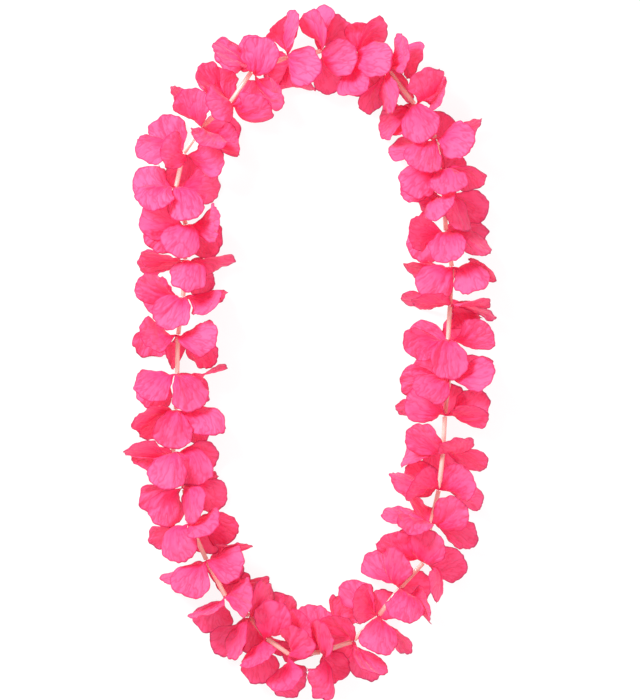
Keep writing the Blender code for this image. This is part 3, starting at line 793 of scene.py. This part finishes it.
face = add_node(tree, "ShaderNodeBsdfPrincipled", Roughness=0.62, Sheen_Weight=0.25,
                Sheen_Roughness=0.4, Specular_IOR_Level=0.3)
link(face_color.outputs["Result"], face.inputs["Base Color"])
link(crease_bump.outputs["Normal"], face.inputs["Normal"])
through = add_node(tree, "ShaderNodeBsdfTranslucent", Color=THROUGH_PINK)
link(crease_bump.outputs["Normal"], through.inputs["Normal"])
clear = add_node(tree, "ShaderNodeBsdfTransparent", Color=(1.0, 0.68, 0.8, 1.0))
lit = add_node(tree, "ShaderNodeMixShader", Fac=THROUGH_SHARE)
link(face.outputs["BSDF"], lit.inputs[1])
link(through.outputs["BSDF"], lit.inputs[2])
sheer = add_node(tree, "ShaderNodeMixShader", Fac=CLEAR_SHARE)
link(lit.outputs["Shader"], sheer.inputs[1])
link(clear.outputs["BSDF"], sheer.inputs[2])
link(sheer.outputs["Shader"], output.inputs["Surface"])
print("cloth nodes", len(tree.nodes))

# %% Dress the blooms
for number, sheet in enumerate(smooth):
    sheet.data.materials.clear()
    sheet.data.materials.append(cloth)
    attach(sheet, "root")
    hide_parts(f"bloom_{number + 1:02d}")

# %% [markdown]
# ## Straws
# Each straw is a thin open tube of clear peach plastic. It starts as an open cylinder at the
# straw's own length, turned to run from one bloom to the next, and gets its wall from a Solidify
# modifier and soft ends from a Bevel. Thin clear plastic bends light hardly at all, so it is a
# glossy, partly clear sheet and not solid glass.

# %% One tube for each gap
STRAW_RADIUS = 1.6 * MM
STRAW_WALL = 0.14 * MM
STRAW_END_GAP = 1.15 * MM
STRAW_SIDES = 28
straws = []
for number, start in enumerate(centres):
    end = centres[(number + 1) % len(centres)]
    middle, run = (start + end) / 2, end - start
    length = np.linalg.norm(run) - 2 * STRAW_END_GAP
    bpy.ops.object.select_all(action="DESELECT")
    bpy.ops.mesh.primitive_cylinder_add(
        vertices=STRAW_SIDES, radius=STRAW_RADIUS, depth=length, end_fill_type="NOTHING",
        location=tuple(middle), rotation=(0, math.pi / 2, math.atan2(run[1], run[0])))
    straw = bpy.context.object
    straw.name = f"straw_{number + 1:02d}"
    bpy.ops.object.transform_apply(location=True, rotation=True, scale=True)
    apply_modifier(straw, "SOLIDIFY", thickness=STRAW_WALL, offset=-1.0)
    apply_modifier(straw, "BEVEL", width=0.04 * MM, segments=2, limit_method="ANGLE",
                   angle_limit=math.radians(50))
    work_on(straw)
    bpy.ops.object.shade_smooth_by_angle(angle=math.radians(50))
    straws.append(straw)
print("straws", len(straws))

# %% Clear peach plastic
plastic, tree, output = new_material("peach straw plastic")
link = tree.links.new
spot = tree.nodes.new("ShaderNodeTexCoord")
streaks = add_node(tree, "ShaderNodeTexNoise", Scale=900.0, Detail=2.0)
link(spot.outputs["Object"], streaks.inputs["Vector"])
tint = tree.nodes.new("ShaderNodeValToRGB")
tint.color_ramp.elements[0].color = (1.0, 0.62, 0.55, 1.0)
tint.color_ramp.elements[1].color = (1.0, 0.78, 0.72, 1.0)
link(streaks.outputs["Fac"], tint.inputs["Fac"])
ripple = add_node(tree, "ShaderNodeBump", Strength=0.15, Distance=0.05 * MM)
link(streaks.outputs["Fac"], ripple.inputs["Height"])
gloss = add_node(tree, "ShaderNodeBsdfPrincipled", Roughness=0.18, Coat_Weight=0.4, Coat_Roughness=0.08)
link(tint.outputs["Color"], gloss.inputs["Base Color"])
link(ripple.outputs["Normal"], gloss.inputs["Normal"])
window = add_node(tree, "ShaderNodeBsdfTransparent", Color=(1.0, 0.9, 0.87, 1.0))
thin = add_node(tree, "ShaderNodeMixShader", Fac=0.55)
link(gloss.outputs["BSDF"], thin.inputs[1])
link(window.outputs["BSDF"], thin.inputs[2])
link(thin.outputs["Shader"], output.inputs["Surface"])
for straw in straws:
    straw.data.materials.append(plastic)
    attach(straw, "root")
    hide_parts("string_with_straws")
print("plastic nodes", len(tree.nodes))

# %% [markdown]
# ## Thread
# One thread runs through every straw and every hub and is tied into a loop. A circle with one
# point for each bloom is moved onto the blooms' middles, turned into a curve and given a round
# section, then made a mesh again.

# %% The closed thread
THREAD_RADIUS = 0.4 * MM
bpy.ops.object.select_all(action="DESELECT")
bpy.ops.mesh.primitive_circle_add(vertices=len(centres), radius=0.1)
thread = bpy.context.object
thread.name = "thread"
set_places(thread.data, centres)
bpy.ops.object.convert(target="CURVE")
thread = bpy.context.object
thread.data.bevel_depth = THREAD_RADIUS
thread.data.bevel_resolution = 2
bpy.ops.object.convert(target="MESH")
thread = bpy.context.object
bpy.ops.object.shade_smooth()
yarn, tree, output = new_material("white thread")
link = tree.links.new
spot = tree.nodes.new("ShaderNodeTexCoord")
twist = add_node(tree, "ShaderNodeTexWave", Scale=700.0, Distortion=1.5)
twist.bands_direction = "DIAGONAL"
link(spot.outputs["Object"], twist.inputs["Vector"])
twist_bump = add_node(tree, "ShaderNodeBump", Strength=0.5, Distance=0.1 * MM)
link(twist.outputs["Fac"], twist_bump.inputs["Height"])
fibre = add_node(tree, "ShaderNodeBsdfPrincipled", Roughness=0.8, Base_Color=(0.93, 0.86, 0.84, 1.0))
link(twist_bump.outputs["Normal"], fibre.inputs["Normal"])
link(fibre.outputs["BSDF"], output.inputs["Surface"])
thread.data.materials.append(yarn)
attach(thread, "root")
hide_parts("string_with_straws")
print("thread", len(thread.data.polygons), "faces")

# %% [markdown]
# ## Floor and light
# The picture is a shop picture on pure white, with almost no shadow. The floor is white and gives
# off some light of its own, as a light table does, so that the petals glow from below. A wide soft
# light from above and one from the side give the folds their shape.

# %% White floor
bpy.ops.object.select_all(action="DESELECT")
bpy.ops.mesh.primitive_plane_add(size=8, location=(0, 0, 0))
floor = bpy.context.object
floor.name = "floor"
white, tree, output = new_material("white floor")
paper = add_node(tree, "ShaderNodeBsdfPrincipled", Roughness=0.9, Base_Color=(0.12, 0.12, 0.12, 1.0),
                 Emission_Color=(1.0, 1.0, 1.0, 1.0), Emission_Strength=0.88)
tree.links.new(paper.outputs["BSDF"], output.inputs["Surface"])
floor.data.materials.append(white)

# %% Soft light
world = bpy.data.worlds.new("studio")
world.use_nodes = True
sky = world.node_tree.nodes["Background"]
sky.inputs["Color"].default_value = (1.0, 1.0, 1.0, 1.0)
sky.inputs["Strength"].default_value = 0.78
bpy.context.scene.world = world
for name, spot, size, power in (("top light", (-0.75, 0.75, 1.0), 0.5, 36.0), ("side light", (0.9, -0.5, 0.9), 0.7, 5.0)):
    bpy.ops.object.light_add(type="AREA", location=spot)
    lamp = bpy.context.object
    lamp.name = name
    lamp.data.size = size
    lamp.data.energy = power
    lamp.rotation_euler = (-Vector(spot)).to_track_quat("-Z", "Y").to_euler()
bpy.context.scene.view_settings.view_transform = "Standard"
print("lights set")

# %% [markdown]
# ## Clearing away
# The flat sheets were only patterns, so they go.

# %% Clear away and finish
for pattern in (cut, flat_sheet):
    bpy.data.objects.remove(pattern, do_unlink=True)
